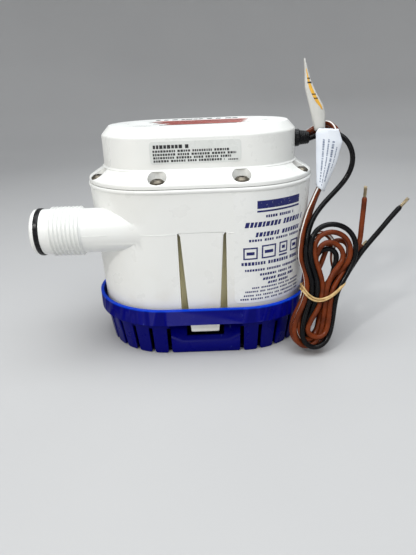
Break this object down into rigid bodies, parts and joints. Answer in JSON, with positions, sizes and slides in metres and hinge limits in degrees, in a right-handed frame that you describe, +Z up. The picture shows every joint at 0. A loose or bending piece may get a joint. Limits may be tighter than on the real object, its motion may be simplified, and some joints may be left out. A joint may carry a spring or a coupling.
{
  "type": "bilge pump",
  "caption": "Automatic submersible bilge pump: oval white housing on a clip-on slotted strainer, threaded side outlet, screwed cap and a hank of supply leads.",
  "frame": {"origin": "centre of the strainer's flat underside, where the pump stands on the bilge floor", "axes": "+X towards the cable end, -X the way the outlet points, -Y the labelled front, +Z up"},
  "size_m": [0.2588, 0.1154, 0.1936],
  "materials": {
    "blue_plastic": "glossy moulded plastic",
    "white_plastic": "satin moulded plastic",
    "dark_plastic": "matte",
    "brown_plastic": "phenolic board",
    "float_plastic": "closed-cell float",
    "board_green": "circuit board",
    "black_insulation": "flexible wire insulation",
    "brown_insulation": "flexible wire insulation",
    "hank_insulation": "coiled wire insulation",
    "gland_rubber": "moulded rubber",
    "seal_rubber": "soft seal",
    "band_rubber": "natural rubber",
    "screw_steel": "dull stainless",
    "shaft_steel": "ground steel",
    "can_steel": "drawn steel",
    "core_steel": "stacked laminations",
    "magnet_ferrite": "sintered ferrite",
    "carbon": "pressed carbon",
    "copper": "copper",
    "strand_metal": "dull tinned copper strands",
    "switch_glass": "sealed glass capsule",
    "label_paper": "coated tag stock",
    "sticker_paper": "printed sticker",
    "silver_sticker": "printed silver sticker",
    "decal_film": "printed film"
  },
  "bodies": {
    "pump": {"strainer_base": "blue_plastic", "pump_housing": "white_plastic", "cover_flange": "white_plastic", "cover_cap": "white_plastic", "cover_gasket": "seal_rubber", "cover_screws": "screw_steel", "cable_gland": "gland_rubber", "spout_o_ring": "seal_rubber", "suction_plate": "dark_plastic", "shaft_seal": "seal_rubber", "motor_can": "can_steel", "motor_can_seal": "seal_rubber", "field_magnets": "magnet_ferrite", "brush_holder": "brown_plastic", "carbon_brushes": "carbon", "lower_bearing": "shaft_steel", "upper_bearing": "shaft_steel", "motor_end_cap": "can_steel", "motor_terminals": "strand_metal", "float_guide": "white_plastic", "reed_switch": "switch_glass", "control_board": "board_green", "board_components": "dark_plastic", "inner_leads": "brown_insulation", "black_lead": "black_insulation", "brown_lead": "brown_insulation", "striped_lead": "brown_insulation", "black_tail": "black_insulation", "brown_tail": "brown_insulation", "striped_tail": "brown_insulation", "lead_hank": "hank_insulation", "rubber_band": "band_rubber", "bare_wire_ends": "strand_metal", "wire_label": "label_paper", "warning_flap": "label_paper", "body_label": "sticker_paper", "cap_label": "silver_sticker", "top_decal": "decal_film"},
    "rotor": {"motor_shaft": "shaft_steel", "armature_core": "core_steel", "armature_windings": "copper", "commutator": "copper", "impeller": "dark_plastic"},
    "float": {"float_body": "float_plastic", "float_magnet": "magnet_ferrite"},
    "front_tab": {"front_release_tab": "white_plastic"},
    "rear_tab": {"rear_release_tab": "white_plastic"}
  },
  "joints": [
    {"name": "rotor_spin", "type": "hinge", "parent": "pump", "child": "rotor", "pos_m": [-0.016, 0, 0.09], "axis": [0, 0, 1], "continuous": true},
    {"name": "float_rise", "type": "slide", "parent": "pump", "child": "float", "axis": [0, 0, 1], "range_m": [0, 0.028]},
    {"name": "front_tab_press", "type": "hinge", "parent": "pump", "child": "front_tab", "pos_m": [0, -0.05077, 0.0896], "axis": [1, 0, 0], "range_deg": [0, 2.4], "stiffness_Nm_per_rad": 12},
    {"name": "rear_tab_press", "type": "hinge", "parent": "pump", "child": "rear_tab", "pos_m": [0, 0.05077, 0.0896], "axis": [-1, 0, 0], "range_deg": [0, 2.4], "stiffness_Nm_per_rad": 12}
  ]
}
